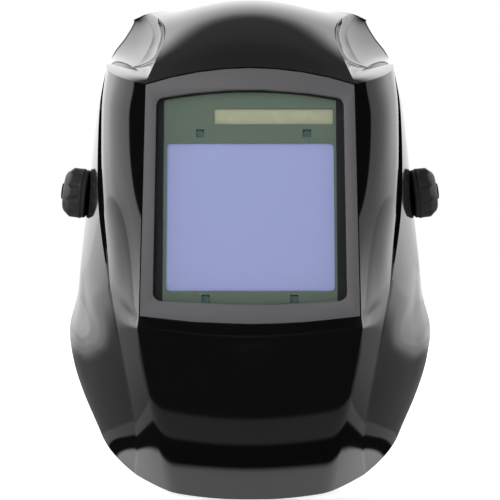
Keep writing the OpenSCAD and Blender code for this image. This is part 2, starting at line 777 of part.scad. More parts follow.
// Rivets: inner end x, length, y, z
rivet_places = [[76.5, 9.6, -6, 51], [73.5, 9.4, 47, 25], [75, 9.8, 28, 41.5]];
module band_rivets()
    color([0.12, 0.12, 0.12])
    for (side = [-1, 1]) for (r = rivet_places)
        right_side(side)
            translate([r[0], r[2], r[3]]) rotate([0, 90, 0]) {
                cylinder(r = 1.8, h = r[1]);
                translate([0, 0, r[1]]) cylinder(r1 = 3.4, r2 = 2.4, h = 1.2);
                translate([0, 0, -1]) cylinder(r = 3, h = 1);
            }
module rear_pad()
    color([0.2, 0.2, 0.21])
    translate([0, rack_y - 2.9, nape_z]) rotate([90, 0, 0]) linear_extrude(9) rounded_rect(70, 34, 9);

// ---- Ratchet ----
pitch_r = 5;                // pitch radius of the pinion
tooth_n = 10;
tooth_pitch = 2 * PI * pitch_r / tooth_n;
housing_w = 54;
housing_h = 34;
housing_y = rack_y - 0.3;
housing_t = 7.5;
knob_y = housing_y + housing_t + 0.4;
// Puts children, drawn with +Z towards the rear, on the ratchet's axis
module ratchet_axis(y) translate([0, y, nape_z]) rotate([-90, 0, 0]) children();
module housing_outline()
    rounded_rect(housing_w, housing_h, 8);
module ratchet_housing()
    color([0.1, 0.1, 0.1])
    ratchet_axis(housing_y)
        difference() {
            linear_extrude(housing_t) housing_outline();
            // Channels for the racks
            translate([-housing_w, -12.4, -1]) cube([2 * housing_w, 8.5, rack_t + 1.6]);
            translate([-housing_w, 3.9, -1]) cube([2 * housing_w, 8.5, rack_t + 1.6]);
            translate([0, 0, -1]) cylinder(r = 6.6, h = rack_t + 1.6);
            translate([0, 0, -1]) cylinder(r = 3.1, h = 20);
            // Toothed ring for the detent
            translate([0, 0, housing_t - 3]) cylinder(r = 13.4, h = 4);
            for (k = [0:23])
                rotate(15 * k) translate([13.4, 0, housing_t - 3]) cylinder(r = 1, h = 4, $fn = 16);
        }
module ratchet_cover()
    color([0.1, 0.1, 0.1])
    ratchet_axis(housing_y - 2.3)
        difference() {
            linear_extrude(2.2) housing_outline();
            translate([0, 0, 0.8]) cylinder(r = 3.2, h = 3);
        }
module rack(side)
    color([0.1, 0.1, 0.1])
    right_side(side)
        translate([0, rack_y, nape_z]) rotate([90, 0, 0]) mirror([0, 0, 1])
            linear_extrude(rack_t)
                mirror([0, side > 0 ? 1 : 0]) {
                    translate([-20, pitch_r + 1.1]) square([rack_end + 20, 5]);
                    translate([34, -10]) square([rack_end - 34, 20]);
                    for (k = [-6:5])
                        translate([(k + 0.5) * tooth_pitch, pitch_r])
                            polygon([[-0.4, -0.85], [0.4, -0.85], [0.9, 1.2], [-0.9, 1.2]]);
                }
module rack_left() rack(-1);
module rack_right() rack(1);
module ratchet_pinion()
    color([0.6, 0.6, 0.62])
    ratchet_axis(rack_y + 0.1) {
        linear_extrude(rack_t - 0.2) {
            circle(r = 3.85);
            for (k = [0:tooth_n - 1])
                rotate(360 * (k + 0.5) / tooth_n)
                    polygon([[3.2, -0.9], [pitch_r, -0.6], [5.85, -0.35], [5.85, 0.35], [pitch_r, 0.6], [3.2, 0.9]]);
        }
        translate([0, 0, -1.4]) cylinder(r = 3, h = 13);
    }
module detent_spring()
    color([0.75, 0.76, 0.78])
    ratchet_axis(housing_y + housing_t - 2.7)
        difference() {
            linear_extrude(2.2)
                union() {
                    circle(r = 5.5);
                    for (a = [0, 180]) rotate(a) translate([0, -1.2]) square([12, 2.4]);
                    for (a = [0, 180]) rotate(a) translate([12, 0]) circle(r = 1.1, $fn = 16);
                }
            translate([0, 0, -1]) cylinder(r = 3.02, h = 5);
        }
module ratchet_knob()
    color([0.06, 0.06, 0.06])
    ratchet_axis(knob_y)
        difference() {
            rotate_extrude($fn = 64)
                polygon([
                    [0, 0], [ratchet_d / 2 - 1, 0], [ratchet_d / 2, 1], [ratchet_d / 2, 8],
                    [ratchet_d / 2 - 3, 13], [ratchet_d / 2 - 5, 14], [0, 14]
                ]);
            for (a = [0:30:330])
                rotate(a) translate([ratchet_d / 2 + 1.2, 0, 2]) cylinder(r = 2.6, h = 16, $fn = 24);
            translate([0, 0, -1]) cylinder(r = 3.02, h = 5.4);
        }

shell();
window_bezel();
front_cover_lens();
lens_gasket();
cartridge_holder();
holder_screws();
clip_screws();
cartridge_case_front();
cartridge_case_rear();
case_screws();
faceplate();
uv_ir_filter();
lcd_cell();
solar_cell();
arc_sensors();
circuit_board();
inner_cover_lens();
pivot_bush_left();
pivot_bush_right();
pivot_screws();
knob_washers();
cartridge_clip_left();
cartridge_clip_right();
battery_tray_left();
battery_tray_right();
coin_cell_left();
coin_cell_right();
shade_dial();
sensitivity_dial();
delay_dial();
grind_button();
test_button();
tension_knob_left();
tension_knob_right();
knob_nut_left();
knob_nut_right();
front_band();
sweatband();
crown_strap_left();
crown_strap_right();
back_strap_left();
back_strap_right();
crown_pins();
band_rivets();
rear_band_left();
rear_band_right();
rear_pad();
ratchet_housing();
ratchet_cover();
ratchet_knob();
ratchet_pinion();
detent_spring();
rack_left();
rack_right();
reach_slide_left();
reach_slide_right();
friction_washers();
tilt_stop();
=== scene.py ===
"""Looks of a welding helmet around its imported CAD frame: gloss moulded shell, window, cartridge face,
knobs and padded headgear. Metres; the helmet looks along -Y and mirrors about X = 0."""
import json
import math

import bmesh
import bpy
import numpy as np
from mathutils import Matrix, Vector
from mathutils.kdtree import KDTree


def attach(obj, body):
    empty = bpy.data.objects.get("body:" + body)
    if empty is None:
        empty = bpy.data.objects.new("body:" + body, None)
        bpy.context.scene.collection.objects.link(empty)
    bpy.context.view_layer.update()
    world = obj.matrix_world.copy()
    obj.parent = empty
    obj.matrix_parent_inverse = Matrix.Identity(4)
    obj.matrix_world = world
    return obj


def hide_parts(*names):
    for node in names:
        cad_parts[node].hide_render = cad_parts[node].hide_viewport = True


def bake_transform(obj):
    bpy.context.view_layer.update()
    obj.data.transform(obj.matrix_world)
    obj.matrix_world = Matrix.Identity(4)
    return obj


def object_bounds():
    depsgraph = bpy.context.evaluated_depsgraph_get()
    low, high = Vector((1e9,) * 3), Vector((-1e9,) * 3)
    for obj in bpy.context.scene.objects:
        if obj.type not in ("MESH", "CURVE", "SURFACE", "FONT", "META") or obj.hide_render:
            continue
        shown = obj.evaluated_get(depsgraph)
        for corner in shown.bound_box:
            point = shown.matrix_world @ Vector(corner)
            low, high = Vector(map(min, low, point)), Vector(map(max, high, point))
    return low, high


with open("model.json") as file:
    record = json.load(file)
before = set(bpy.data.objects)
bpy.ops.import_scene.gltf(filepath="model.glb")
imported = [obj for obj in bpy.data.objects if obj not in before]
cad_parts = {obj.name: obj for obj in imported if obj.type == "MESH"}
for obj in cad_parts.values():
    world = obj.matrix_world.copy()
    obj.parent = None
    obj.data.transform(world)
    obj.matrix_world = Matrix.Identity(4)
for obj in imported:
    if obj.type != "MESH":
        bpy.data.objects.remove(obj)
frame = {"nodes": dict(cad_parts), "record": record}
cad_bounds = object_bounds()
nodes = frame["nodes"]
scene = bpy.context.scene
MM = 0.001

# ---- Materials ----


def new_material(name, colour, roughness, metallic=0.0):
    """A Principled material with its constant values on the shader's own sockets."""
    material = bpy.data.materials.new(name)
    material.use_nodes = True
    shader = material.node_tree.nodes["Principled BSDF"]
    shader.inputs["Base Color"].default_value = (*colour, 1)
    shader.inputs["Roughness"].default_value = roughness
    shader.inputs["Metallic"].default_value = metallic
    return material, shader


def add_node(material, kind, **inputs):
    """A node of that kind, with values for its inputs."""
    node = material.node_tree.nodes.new(kind)
    for key, value in inputs.items():
        node.inputs[key.replace("_", " ")].default_value = value
    return node


def noise(material, scale, detail=3.0):
    """Noise over the object's own space; scale is in features per metre."""
    place = material.node_tree.nodes.new("ShaderNodeTexCoord")
    texture = add_node(material, "ShaderNodeTexNoise", Scale=scale, Detail=detail)
    material.node_tree.links.new(place.outputs["Object"], texture.inputs["Vector"])
    return texture.outputs["Fac"]


def ramp(material, value, low, high):
    """Maps a 0-1 noise value to a range around its middle."""
    node = add_node(material, "ShaderNodeMapRange")
    node.inputs["From Min"].default_value = 0.3
    node.inputs["From Max"].default_value = 0.7
    node.inputs["To Min"].default_value = low
    node.inputs["To Max"].default_value = high
    material.node_tree.links.new(value, node.inputs["Value"])
    return node.outputs["Result"]


def rough_between(material, shader, low, high, scale, detail=3.0):
    """Roughness that wanders between two values."""
    value = ramp(material, noise(material, scale, detail), low, high)
    material.node_tree.links.new(value, shader.inputs["Roughness"])


def bump(material, shader, height, distance, strength=1.0, onto=None):
    """Surface relief from a 0-1 height; distance is its depth in metres."""
    node = add_node(material, "ShaderNodeBump", Strength=strength, Distance=distance)
    material.node_tree.links.new(height, node.inputs["Height"])
    if onto is not None:
        material.node_tree.links.new(onto, node.inputs["Normal"])
    material.node_tree.links.new(node.outputs["Normal"], shader.inputs["Normal"])
    return node.outputs["Normal"]


def gloss_black():
    """Polished injection-moulded nylon, faintly wavy, with polishing haze."""
    material, shader = new_material("shell_gloss", (0.002, 0.002, 0.0022), 0.06)
    shader.inputs["IOR"].default_value = 1.5
    rough_between(material, shader, 0.045, 0.085, 35, 6)
    bump(material, shader, noise(material, 18, 2), 0.00004, 0.5)
    return material


def satin(name, colour, low, high, grain=900, depth=0.00004, shine=0.5):
    """Moulded plastic with a fine spark-eroded grain."""
    material, shader = new_material(name, colour, (low + high) / 2)
    shader.inputs["Specular IOR Level"].default_value = shine
    rough_between(material, shader, low, high, 60)
    bump(material, shader, noise(material, grain, 4), depth, 0.6)
    return material


def metal(name, colour, low, high):
    """Turned or stamped metal with a fine grain."""
    material, shader = new_material(name, colour, (low + high) / 2, 1.0)
    rough_between(material, shader, low, high, 300)
    bump(material, shader, noise(material, 1200), 0.00002, 0.5)
    return material


def knit(name, colour):
    """Brushed knit over foam: fine crossing ribs, matt, with patches a little rougher than the rest."""
    material, shader = new_material(name, colour, 0.9)
    shader.inputs["Specular IOR Level"].default_value = 0.2
    rough_between(material, shader, 0.82, 0.96, 120)
    place = material.node_tree.nodes.new("ShaderNodeTexCoord")
    normal = None
    for direction, pitch in (("X", 420), ("Z", 300)):
        wave = add_node(material, "ShaderNodeTexWave", Scale=pitch / math.pi, Distortion=1.5, Detail=2)
        wave.bands_direction = direction
        material.node_tree.links.new(place.outputs["Object"], wave.inputs["Vector"])
        normal = bump(material, shader, wave.outputs["Fac"], 0.00025, 0.5, normal)
    return material


def clear(name, colour, roughness=0.02):
    """Clear polycarbonate sheet: thin, so it's mostly see-through with a reflection on top."""
    material, shader = new_material(name, colour, roughness)
    shader.inputs["IOR"].default_value = 1.45
    shader.inputs["Alpha"].default_value = 0.08
    rough_between(material, shader, 0.015, 0.04, 40, 5)
    return material


MATERIALS = {
    "shell_gloss": gloss_black(),
    "bezel": satin("bezel", (0.078, 0.075, 0.079), 0.3, 0.36, 1500, 0.000002),
    "clear_lens": clear("clear_lens", (0.04, 0.045, 0.05)),
    "rubber": satin("rubber", (0.015, 0.015, 0.015), 0.55, 0.7, 700),
    "black_plastic": satin("black_plastic", (0.012, 0.011, 0.012), 0.4, 0.52, shine=0.2),
    "faceplate_green": satin("faceplate_green", (0.10, 0.135, 0.105), 0.38, 0.42, 1400, 0.000001, 0.2),
    "filter_blue": satin("filter_blue", (0.31, 0.345, 0.60), 0.05, 0.09, 40, 0.000001, 0.3),
    "lcd_glass": satin("lcd_glass", (0.12, 0.16, 0.09), 0.05, 0.1, 200, 0.000005),
    "solar": satin("solar", (0.35, 0.37, 0.25), 0.2, 0.3, 900, 0.000001, 0.3),
    "sensor": satin("sensor", (0.07, 0.13, 0.115), 0.1, 0.2, 900, 0.00001),
    "board": satin("board", (0.01, 0.10, 0.035), 0.25, 0.35, 700, 0.00002),
    "steel": metal("steel", (0.62, 0.62, 0.63), 0.22, 0.34),
    "black_steel": metal("black_steel", (0.06, 0.06, 0.065), 0.3, 0.45),
    "cell_steel": metal("cell_steel", (0.75, 0.75, 0.74), 0.18, 0.3),
    "washer_nylon": satin("washer_nylon", (0.62, 0.58, 0.48), 0.4, 0.55),
    "knob_rubbery": satin("knob_rubbery", (0.024, 0.023, 0.024), 0.42, 0.56, 1100, 0.00003),
    "stop_red": satin("stop_red", (0.42, 0.015, 0.01), 0.3, 0.42),
    "button_red": satin("button_red", (0.40, 0.02, 0.015), 0.3, 0.42),
    "headgear_nylon": satin("headgear_nylon", (0.018, 0.018, 0.02), 0.38, 0.5),
    "foam_fabric": knit("foam_fabric", (0.05, 0.05, 0.055)),
}

SLOTS = {}
for entry in frame["record"]["subparts"]:
    SLOTS[entry["node"]] = entry["material_slot"]
BODIES = {}
for body, members in frame["record"]["behaviour"]["bodies"].items():
    for name in members:
        BODIES[name] = body


def paint(piece, slot):
    """Gives the piece the one material of the record's slot that it stands for."""
    piece.data.materials.clear()
    piece.data.materials.append(MATERIALS[slot])
    for face in piece.data.polygons:
        face.material_index = 0


for name, piece in nodes.items():
    for place in piece.material_slots:
        place.material = MATERIALS[SLOTS[name]]


# ---- Shell surface ----
# Four lines run down each half, from the rear edge of the crown to the rim of the chin, in millimetres.
# Stations: 0-3 crown and forehead, 4 window top, 5-6 window, 7 window bottom, 8 lip, 9-12 chin.
WINDOW_REACH = 134
WINDOW_TILT = math.radians(10)
WINDOW_MID_Z = -4.5
WALL = 2.4


def on_window(x, up, back=0.0):
    """A point of the window plane: x, height along the plane, depth behind it."""
    return (
        x,
        -WINDOW_REACH + up * math.sin(WINDOW_TILT) + back * math.cos(WINDOW_TILT),
        WINDOW_MID_Z + up * math.cos(WINDOW_TILT) - back * math.sin(WINDOW_TILT),
    )


BEZEL_TOP, BEZEL_TOP_CORNER = 74.5, 64.5
BEZEL_BOTTOM, BEZEL_BOTTOM_CORNER = -74.5, -70
MIDDLE = np.array([
    (0, 28, 125), (0, -18, 122.5), (0, -65, 107.5), (0, -99, 88),
    on_window(0, BEZEL_TOP), on_window(0, 50), on_window(0, 0), on_window(0, BEZEL_BOTTOM),
    on_window(0, BEZEL_BOTTOM - 6, 0.5), (0, -146, -104), (0, -137, -130), (0, -122, -157), (0, -100, -182),
])
RIDGE = np.array([
    (66, 25, 120), (55, -28, 107), (51.5, -63, 94), (54.5, -96, 77.5), on_window(60.3, BEZEL_TOP_CORNER),
    on_window(60.6, 45), on_window(61.2, 0), on_window(62.2, BEZEL_BOTTOM_CORNER),
    on_window(63, BEZEL_BOTTOM_CORNER - 6, 1), (60, -139.5, -101), (55, -130, -124), (50, -115, -150),
    (46, -92, -179),
])
CREASE = np.array([
    (70.5, 24.6, 118), (62, -8, 103.5), (64, -30, 89), (71, -56, 76), (87, -60, 77.5), (88.5, -80, 46),
    (88, -82, -8), (83.5, -88, -54), (78.5, -94, -81), (73.5, -98, -104), (69, -98, -127),
    (66.5, -88, -151), (70, -64, -171.5),
])
EDGE = np.array([
    (75, 24, 115.5), (78, 24.5, 109.5), (82.5, 25, 102.5), (88, 25, 95.5), (92.5, 25.5, 88), (98.5, 28, 62),
    (105, 31, 10), (111.5, 29, -42), (113.5, 25, -65), (117.5, 16, -86), (114, 4, -107), (105.5, -11, -128),
    (94.5, -28, -147.5),
])
# Pull of the flank's curve: how far along x, y and z its control point lies
PULL = np.array([
    (0.5, 0.5, 0.5), (0.25, 0.7, 0.7), (0.2, 0.75, 0.75), (0.2, 0.7, 0.7), (0.94, 0.05, 0.3),
    (0.94, 0.05, 0.05), (0.88, 0.12, 0.12), (0.5, 0.42, 0.42), (0.48, 0.44, 0.44), (0.48, 0.44, 0.44),
    (0.5, 0.42, 0.42), (0.5, 0.4, 0.4), (0.5, 0.4, 0.4),
])
# Outward step of the side beyond its crease, outward bulge of the side, flare of its rear edge
FORM = np.array([
    (0, 0, 0), (0, -1, 0), (0, -1.5, 0), (0, -1, 0), (0, 0, 0), (1.5, 2, 0), (2.4, 3.4, 0), (0.5, 5, 0.5),
    (0.2, 5, 1.4), (0, 5, 1.2), (0, 5, 0.5), (0, 4.5, 0), (0, 3.5, 0),
])
SHARP, SCOOP = (4, 7, 8), (4,)      # stations where the middle panel and the sides are creased
PANEL_N, FLANK_N, SIDE_N = 20, 30, 30
LIP_START = 3.72            # station where the scoop's dish turns up to its lip
RIDGE_ROUND = 5             # how far the chin's edge is rounded to each side
RIDGE_SAMPLES = 9           # points that each rounded point is the mean of
RIDGE_KEEP = 4              # columns left alone beside the middle and beside the crease
FLANK_CROWDING = 1.5        # gathers the flank's columns towards the ridge
HALF_N = PANEL_N + FLANK_N + SIDE_N


def along(stations, v, breaks):
    """Smooth curve through the stations, broken where the surface is creased."""
    i = min(int(v), len(stations) - 2)
    t = v - i
    b, c = stations[i], stations[i + 1]
    a = 2 * b - c if i == 0 or i in breaks else stations[i - 1]
    d = 2 * c - b if i + 2 > len(stations) - 1 or i + 1 in breaks else stations[i + 2]
    return 0.5 * (2 * b + t * (c - a) + t * t * (2 * a - 5 * b + 4 * c - d) + t ** 3 * (3 * b - a - 3 * c + d))


def bezier(a, b, c, t):
    """Point of a curve from a to c that b pulls."""
    return (1 - t) ** 2 * a + 2 * t * (1 - t) * b + t * t * c


def ease(t):
    """Smooth step from 0 to 1."""
    u = min(1, max(0, t))
    return u * u * (3 - 2 * u)


def applied(piece):
    """The piece's mesh with its modifiers applied, in the place of the mesh and the modifiers."""
    graph = bpy.context.evaluated_depsgraph_get()
    mesh = bpy.data.meshes.new_from_object(piece.evaluated_get(graph))
    piece.modifiers.clear()
    piece.data = mesh


def tamed(piece, reach):
    """Applies the edge rounding, and pulls in any corner that it threw further out than reach millimetres."""
    before = KDTree(len(piece.data.vertices))
    for vertex in piece.data.vertices:
        before.insert(vertex.co, vertex.index)
    before.balance()
    applied(piece)
    for vertex in piece.data.vertices:
        place, _, distance = before.find(vertex.co)
        if distance > reach * MM:
            vertex.co = place


def shell_point(v, column):
    """Outer surface of the +X half, in millimetres."""
    middle, ridge = along(MIDDLE, v, SHARP), along(RIDGE, v, SHARP)
    crease, edge = along(CREASE, v, SCOOP), along(EDGE, v, SCOOP)
    pull, form = along(PULL, v, SCOOP), along(FORM, v, SCOOP)
    if 3 <= v < 4:
        pull = PULL[3] + (PULL[4] - PULL[3]) * ease((v - LIP_START) / (4 - LIP_START))
    if column <= PANEL_N:
        t = column / PANEL_N
        return np.array([ridge[0] * t, *(middle[1:] + (ridge[1:] - middle[1:]) * t * t)])
    if column <= PANEL_N + FLANK_N:
        t = ((column - PANEL_N) / FLANK_N) ** FLANK_CROWDING
        return bezier(ridge, ridge + (crease - ridge) * pull, crease, t)
    t = (column - PANEL_N - FLANK_N - 1) / (SIDE_N - 1)
    run = edge - crease
    start = crease + run * (0.5 / np.linalg.norm(run)) + np.array([form[0], 0, 0])
    control = (start + edge) / 2 + np.array([2 * form[1], 0, 0])
    return bezier(start, control, edge, t) + np.array([form[2] * (ease((t - 0.55) / 0.25) - t), 0, 0])


ROWS = [
    *np.linspace(0, 4, 49)[:-1], *np.linspace(4, 7, 61)[:-1], *np.linspace(7, 8, 6)[:-1],
    *np.linspace(8, 12, 45),
]
WINDOW_ROWS = (48, 108)


def new_piece(name, points, faces, slot, body, smooth=True):
    """A mesh object from points in millimetres, that rides on a body."""
    mesh = bpy.data.meshes.new(name)
    mesh.from_pydata([tuple(float(c) * MM for c in p) for p in points], [], faces)
    mesh.validate()
    piece = bpy.data.objects.new(name, mesh)
    scene.collection.objects.link(piece)
    for face in mesh.polygons:
        face.use_smooth = smooth
    paint(piece, slot)
    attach(piece, body)
    return piece


def grid_normals(grid):
    """Unit outward normals of a grid of points."""
    down = np.gradient(grid, axis=0)
    across = np.gradient(grid, axis=1)
    normal = np.cross(down, across)
    return normal / np.linalg.norm(normal, axis=2, keepdims=True)


def soften_ridge(row, radius):
    """Rounds the edge between the chin panel and the flank: each point becomes a mean over its neighbourhood."""
    whole = np.concatenate([row[:0:-1] * np.array([-1, 1, 1]), row])
    steps = np.linalg.norm(np.diff(whole, axis=0), axis=1)
    reach = np.concatenate([[0], np.cumsum(steps)])
    out = row.copy()
    middle = len(row) - 1
    for k in range(RIDGE_KEEP, PANEL_N + FLANK_N - RIDGE_KEEP):
        at = reach[middle + k]
        near = radius * ease(1.6 - abs(at - reach[middle + PANEL_N]) / (2 * radius))
        samples = at + near * np.linspace(-1, 1, RIDGE_SAMPLES)
        out[k] = np.mean([[np.interp(q, reach, whole[:, axis]) for axis in range(3)] for q in samples], axis=0)
    return out


def shell_grid():
    """Outer surface of the whole shell as rows of points, from -X to +X."""
    half = np.array([[shell_point(v, c) for c in range(HALF_N + 1)] for v in ROWS])
    for i, v in enumerate(ROWS):
        radius = RIDGE_ROUND * ease((v - 8) / 0.8)
        if radius > 0.2:
            half[i] = soften_ridge(half[i], radius)
    other = half[:, :0:-1] * np.array([-1, 1, 1])
    return np.concatenate([other, half], axis=1)


def make_shell():
    """The moulded shell with its window hole; returns the grid of its outer surface."""
    outer = shell_grid()
    inner = outer - WALL * grid_normals(outer)
    rows, columns = outer.shape[:2]
    count = rows * columns

    def is_cell(i, j):
        inside = 0 <= i < rows - 1 and 0 <= j < columns - 1
        in_window = WINDOW_ROWS[0] <= i < WINDOW_ROWS[1] and abs(j + 0.5 - HALF_N) < PANEL_N
        return inside and not in_window

    faces = []
    for i in range(rows - 1):
        for j in range(columns - 1):
            if not is_cell(i, j):
                continue
            a = i * columns + j
            b, c, d = a + 1, a + 1 + columns, a + columns
            faces.append((a, d, c, b))
            faces.append((count + a, count + b, count + c, count + d))
            for here, p, q in (((i - 1, j), b, a), ((i + 1, j), d, c), ((i, j - 1), a, d), ((i, j + 1), c, b)):
                if not is_cell(*here):
                    faces.append((p, q, count + q, count + p))
    points = np.concatenate([outer.reshape(-1, 3), inner.reshape(-1, 3)])
    piece = new_piece("gloss_shell", points, faces, "shell_gloss", "shell")
    round_edges(piece, 0.35, 32, clamp=True)
    tamed(piece, 1.5)
    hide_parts("shell")
    return outer


def round_edges(piece, width, angle, clamp=False):
    """Rounds the edges that are sharper than the angle, in millimetres and degrees."""
    bevel = piece.modifiers.new("edges", "BEVEL")
    bevel.width = width * MM
    bevel.segments = 2
    bevel.limit_method = "ANGLE"
    bevel.angle_limit = math.radians(angle)
    bevel.use_clamp_overlap = clamp
    bevel.harden_normals = True


def closed_bead(name, path, radii, slot, body):
    """A round bead along a closed path, in millimetres, with its own radius at each point."""
    path = np.array(path, float)
    count = len(path)
    run = np.roll(path, -1, axis=0) - np.roll(path, 1, axis=0)
    run /= np.linalg.norm(run, axis=1, keepdims=True)
    side = np.cross(run, (0, 1, 0))
    side /= np.linalg.norm(side, axis=1, keepdims=True)
    up = np.cross(side, run)
    points, faces = [], []
    for i in range(count):
        j = (i + 1) % count
        for k in range(BEAD_SIDES):
            a = 2 * math.pi * k / BEAD_SIDES
            m = (k + 1) % BEAD_SIDES
            points.append(path[i] + radii[i] * (math.cos(a) * side[i] + math.sin(a) * up[i]))
            faces.append((i * BEAD_SIDES + k, i * BEAD_SIDES + m, j * BEAD_SIDES + m, j * BEAD_SIDES + k))
    return new_piece(name, points, faces, slot, body)


# Radius of the rolled bead round the shell's free edge
BEAD_SIDES = 10
BEAD_CROWN = 1.25
BEAD_CROWN_GAIN = 0.35      # gained towards the upper corners
BEAD_SIDE = 1.6
BEAD_SIDE_LOSS = 0.75       # lost from the scoops down to the sides
BEAD_CHIN = 1.2


def make_rim(outer):
    """Rolled bead round the shell's free edge: thick beside the scoops and thin elsewhere."""
    rows, columns = outer.shape[:2]
    middle = outer - WALL / 2 * grid_normals(outer)

    def side_radius(row):
        return BEAD_SIDE - BEAD_SIDE_LOSS * ease((ROWS[row] - 3.3) / 0.9)

    path, radii = [], []
    for j in range(columns):
        across = abs(j - HALF_N) / HALF_N
        path.append(middle[0, j])
        radii.append(BEAD_CROWN + BEAD_CROWN_GAIN * ease((across - 0.35) / 0.3))
    for i in range(1, rows):
        path.append(middle[i, -1])
        radii.append(side_radius(i))
    for j in range(columns - 2, -1, -1):
        path.append(middle[-1, j])
        radii.append(BEAD_CHIN)
    for i in range(rows - 2, 0, -1):
        path.append(middle[i, 0])
        radii.append(side_radius(i))
    return closed_bead("rim_bead", path, radii, "shell_gloss", "shell")


def refined(name, width, clamp=False):
    """Stands for a CAD node: the same solid with its edges rounded and its curves shaded smooth."""
    mesh = nodes[name].data.copy()
    work = bmesh.new()
    work.from_mesh(mesh)
    bmesh.ops.remove_doubles(work, verts=work.verts, dist=0.00001)
    bmesh.ops.dissolve_limit(work, angle_limit=math.radians(3), verts=work.verts, edges=work.edges)
    work.to_mesh(mesh)
    work.free()
    piece = bpy.data.objects.new(name + "_fine", mesh)
    scene.collection.objects.link(piece)
    for face in mesh.polygons:
        face.use_smooth = True
    paint(piece, SLOTS[name])
    round_edges(piece, width, 30, clamp)
    tamed(piece, 4 * width)
    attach(piece, BODIES[name])
    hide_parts(name)


shell_outer = make_shell()
make_rim(shell_outer)


def offset_loop(points, distance):
    """A closed outline in the plane, moved outwards by a distance."""
    points = np.array(points, float)
    run = np.roll(points, -1, axis=0) - np.roll(points, 1, axis=0)
    run /= np.linalg.norm(run, axis=1, keepdims=True)
    normal = np.stack([run[:, 1], -run[:, 0]], axis=1)
    if np.sum(normal * points) < 0:
        normal = -normal
    return points + distance * normal


def window_hole():
    """Outline of the hole in the shell, as x and height along the window, from its grid of points."""
    first, last = HALF_N - PANEL_N, HALF_N + PANEL_N
    top, bottom = WINDOW_ROWS
    loop = [shell_outer[top, j] for j in range(first, last)]
    loop += [shell_outer[i, last] for i in range(top, bottom)]
    loop += [shell_outer[bottom, j] for j in range(last, first, -1)]
    loop += [shell_outer[i, first] for i in range(bottom, top, -1)]
    return [(p[0], (p[2] - WINDOW_MID_Z) / math.cos(WINDOW_TILT)) for p in loop]


# Corners of the section of the black strip that paints the shade in the joint: distance outwards from the hole's
# outline, depth behind the window plane
JOINT_SHADE_SECTION = ((-2.2, 2.6), (1.2, 2.6), (1.2, 3.3), (-2.2, 3.3))


def make_bezel_joint_shade():
    """Black strip in the joint between the bezel and the shell: painted shade that makes the gap read black."""
    loop = window_hole()
    points, faces = [], []
    for distance, back in JOINT_SHADE_SECTION:
        points += [on_window(x, up, back) for x, up in offset_loop(loop, distance)]
    count = len(loop)
    for k in range(len(JOINT_SHADE_SECTION)):
        for i in range(count):
            j, m = (i + 1) % count, (k + 1) % len(JOINT_SHADE_SECTION)
            faces.append((k * count + i, k * count + j, m * count + j, m * count + i))
    # Painted shade: a dark rubber strip placed where the joint between bezel and shell is only in shade
    new_piece("bezel_joint_shade", points, faces, "rubber", "shell", smooth=False)


make_bezel_joint_shade()

# ---- Moulded and turned pieces with rounded edges ----
# Rounding in millimetres. The cartridge's cases, holder and trays aren't here and keep their CAD solids.
ROUNDED = {
    0.3: ("window_bezel", "tilt_stop", "ratchet_housing", "ratchet_cover", "reach_slide_left",
          "reach_slide_right", "shade_dial", "sensitivity_dial", "delay_dial", "grind_button", "test_button",
          "cartridge_clip_left", "cartridge_clip_right", "crown_strap_left", "crown_strap_right",
          "back_strap_left", "back_strap_right"),
    0.6: ("tension_knob_left", "tension_knob_right", "ratchet_knob", "front_band"),
    0.15: ("knob_nut_left", "knob_nut_right", "pivot_screws", "knob_washers", "case_screws", "clip_screws",
           "holder_screws", "coin_cell_left", "coin_cell_right", "band_rivets", "crown_pins"),
}
for width, names in ROUNDED.items():
    for name in names:
        refined(name, width, clamp=name == "window_bezel")

# ---- Headgear padding and straps ----
CUSHION_VOXEL = 3           # remesh step, in millimetres
CUSHION_START_IN = 0.3      # how far inside the CAD solid the fabric starts, in millimetres
CUSHION_MOST = 2.2          # furthest that the fabric may move, in millimetres
CUSHION_PRESSURE = 4
CUSHION_FRAMES = 20


def copied(name, suffix):
    """A copy of a CAD node's mesh, to work on."""
    piece = bpy.data.objects.new(name + suffix, nodes[name].data.copy())
    scene.collection.objects.link(piece)
    return piece


def cushion(name):
    """Fabric over foam in the place of a CAD solid: remeshed, then puffed up by a short cloth simulation."""
    piece = copied(name, "_cushion")
    remesh = piece.modifiers.new("remesh", "REMESH")
    remesh.mode = "VOXEL"
    remesh.voxel_size = CUSHION_VOXEL * MM
    relax = piece.modifiers.new("relax", "SMOOTH")
    relax.iterations = 3
    relax.factor = 0.5
    applied(piece)
    count = len(piece.data.vertices)
    rest = np.zeros(count * 3)
    piece.data.vertices.foreach_get("co", rest)
    rest = rest.reshape(-1, 3)
    normals = np.array([tuple(v.normal) for v in piece.data.vertices])
    shape = rest - CUSHION_START_IN * MM * normals
    piece.data.vertices.foreach_set("co", shape.reshape(-1))
    cloth = piece.modifiers.new("cloth", "CLOTH")
    cloth.settings.use_pressure = True
    cloth.settings.uniform_pressure_force = CUSHION_PRESSURE
    cloth.settings.effector_weights.gravity = 0
    for frame_number in range(1, CUSHION_FRAMES + 1):
        scene.frame_set(frame_number)
    applied(piece)
    scene.frame_set(1)
    moved = np.zeros(count * 3)
    piece.data.vertices.foreach_get("co", moved)
    step = moved.reshape(-1, 3) - shape
    length = np.linalg.norm(step, axis=1, keepdims=True)
    shape = shape + step * np.minimum(1, CUSHION_MOST * MM / np.maximum(length, 1e-9))
    piece.data.vertices.foreach_set("co", shape.reshape(-1))
    soften = piece.modifiers.new("soften", "SUBSURF")
    soften.levels = soften.render_levels = 1
    applied(piece)
    for face in piece.data.polygons:
        face.use_smooth = True
    paint(piece, SLOTS[name])
    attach(piece, BODIES[name])
    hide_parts(name)


cushion("sweatband")
cushion("rear_pad")


